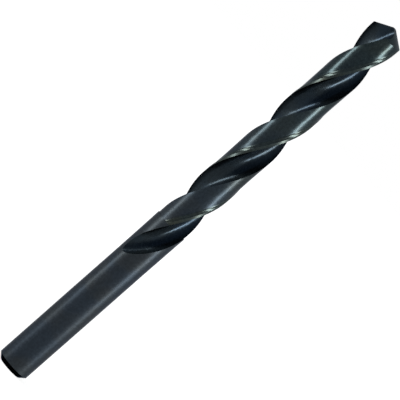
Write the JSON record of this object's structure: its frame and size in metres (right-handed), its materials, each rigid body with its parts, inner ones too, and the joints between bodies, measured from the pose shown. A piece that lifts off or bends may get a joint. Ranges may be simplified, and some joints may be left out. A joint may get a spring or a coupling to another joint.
{
  "type": "twist drill bit",
  "caption": "Straight-shank twist drill with right-hand helical flutes, ground margins, a relieved point and a chamfered round shank.",
  "frame": {"origin": "centre of the flat end of the shank", "axes": "+Z along the drill's axis from the shank end to the point; the two lips lie along X"},
  "size_m": [0.01, 0.01, 0.133],
  "materials": {
    "blued_steel": "ground, with a thin blue-black steam oxide"
  },
  "bodies": {
    "root": {"drill_bit": "blued_steel"}
  },
  "joints": []
}
